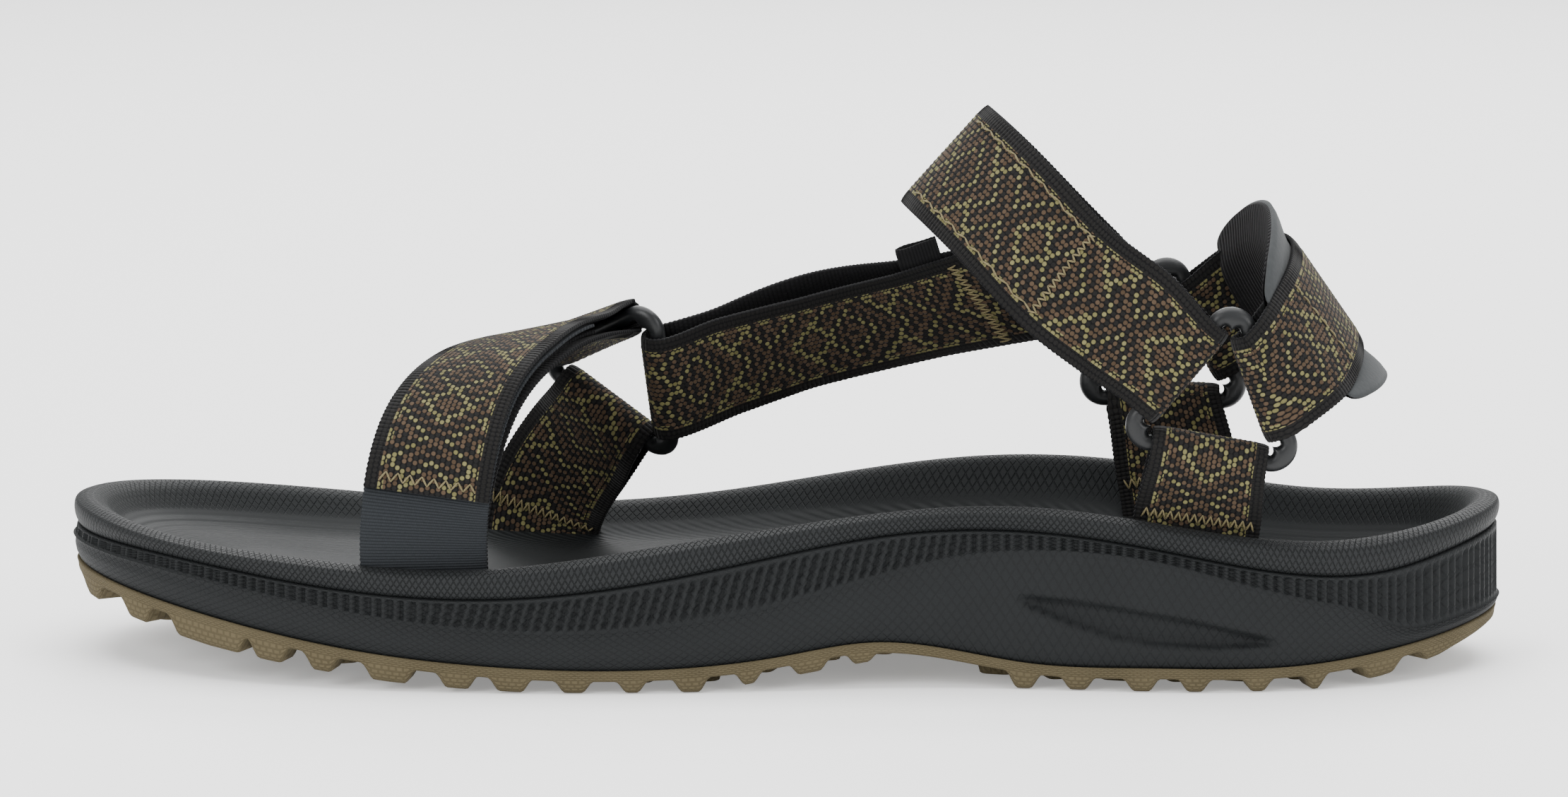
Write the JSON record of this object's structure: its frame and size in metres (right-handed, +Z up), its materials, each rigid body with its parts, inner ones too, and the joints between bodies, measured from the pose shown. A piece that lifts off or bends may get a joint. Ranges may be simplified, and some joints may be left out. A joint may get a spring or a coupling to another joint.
{
  "type": "sport sandal",
  "caption": "Strappy walking sandal: lugged rubber outsole, foam cupped footbed, patterned webbing straps with ring junctions, peel-open toe and ankle closures and a padded heel band.",
  "frame": {"origin": "on the ground, under the middle of the sandal's length and width", "axes": "+X towards the heel, -Y towards the inner (medial) side of the foot, +Z up"},
  "size_m": [0.2981, 0.1051, 0.1153],
  "materials": {
    "webbing": "matte",
    "loop_pile": "matte",
    "hook_tape": "matte",
    "side_tape": "matte",
    "ring_plastic": "satin",
    "topsole_foam": "matte",
    "midsole_foam": "matte",
    "tread_rubber": "matte",
    "shock_gel": "matte",
    "shank_nylon": "satin",
    "pad_microfibre": "matte",
    "pad_foam": "matte",
    "pad_lining": "matte"
  },
  "bodies": {
    "root": {"outsole": "tread_rubber", "heel_shock_pad": "shock_gel", "arch_shank": "shank_nylon", "midsole": "midsole_foam", "topsole": "topsole_foam", "toe_strap": "webbing", "toe_loop_tape": "loop_pile", "ankle_strap": "webbing", "ankle_loop_tape": "loop_pile", "connector_strap": "webbing", "connector_side_tab": "side_tape", "medial_side_strap": "webbing", "lateral_side_strap": "webbing", "toe_lateral_strap": "webbing"},
    "toe_flap": {"toe_flap": "webbing", "toe_hook_tape": "hook_tape"},
    "ankle_flap": {"ankle_flap": "webbing", "ankle_hook_tape": "hook_tape"},
    "heel_strap": {"heel_strap": "webbing", "heel_pad_facing": "pad_microfibre", "heel_pad_foam": "pad_foam", "heel_pad_lining": "pad_lining"},
    "medial_ring": {"medial_ring": "ring_plastic"},
    "lateral_ring": {"lateral_ring": "ring_plastic"},
    "toe_ring": {"toe_ring": "ring_plastic"}
  },
  "joints": [
    {"name": "toe_flap_peel", "type": "hinge", "parent": "root", "child": "toe_flap", "pos_m": [-0.04008, 0.01782, 0.06379], "axis": [-0.6665, 0.6258, -0.4052], "range_deg": [0, 105]},
    {"name": "ankle_flap_peel", "type": "hinge", "parent": "root", "child": "ankle_flap", "pos_m": [0.07168, 0.02, 0.06555], "axis": [-0.5225, 0, -0.8526], "range_deg": [0, 95]},
    {"name": "heel_strap_tilt", "type": "hinge", "parent": "root", "child": "heel_strap", "pos_m": [0.09867, -0.0445, 0.0629], "axis": [-0.1269, 0.9914, 0.0332], "range_deg": [-4, 4]},
    {"name": "medial_ring_turn", "type": "hinge", "parent": "root", "child": "medial_ring", "pos_m": [0.0885, -0.0445, 0.0592], "axis": [0, -1, 0], "range_deg": [-2, 2]},
    {"name": "lateral_ring_turn", "type": "hinge", "parent": "root", "child": "lateral_ring", "pos_m": [0.0809, 0.02, 0.0599], "axis": [0, -1, 0], "range_deg": [-2, 2]},
    {"name": "toe_ring_turn", "type": "hinge", "parent": "root", "child": "toe_ring", "pos_m": [-0.0345, 0.0177, 0.0546], "axis": [-0.5393, -0.78, -0.3175], "range_deg": [-2, 2]}
  ]
}
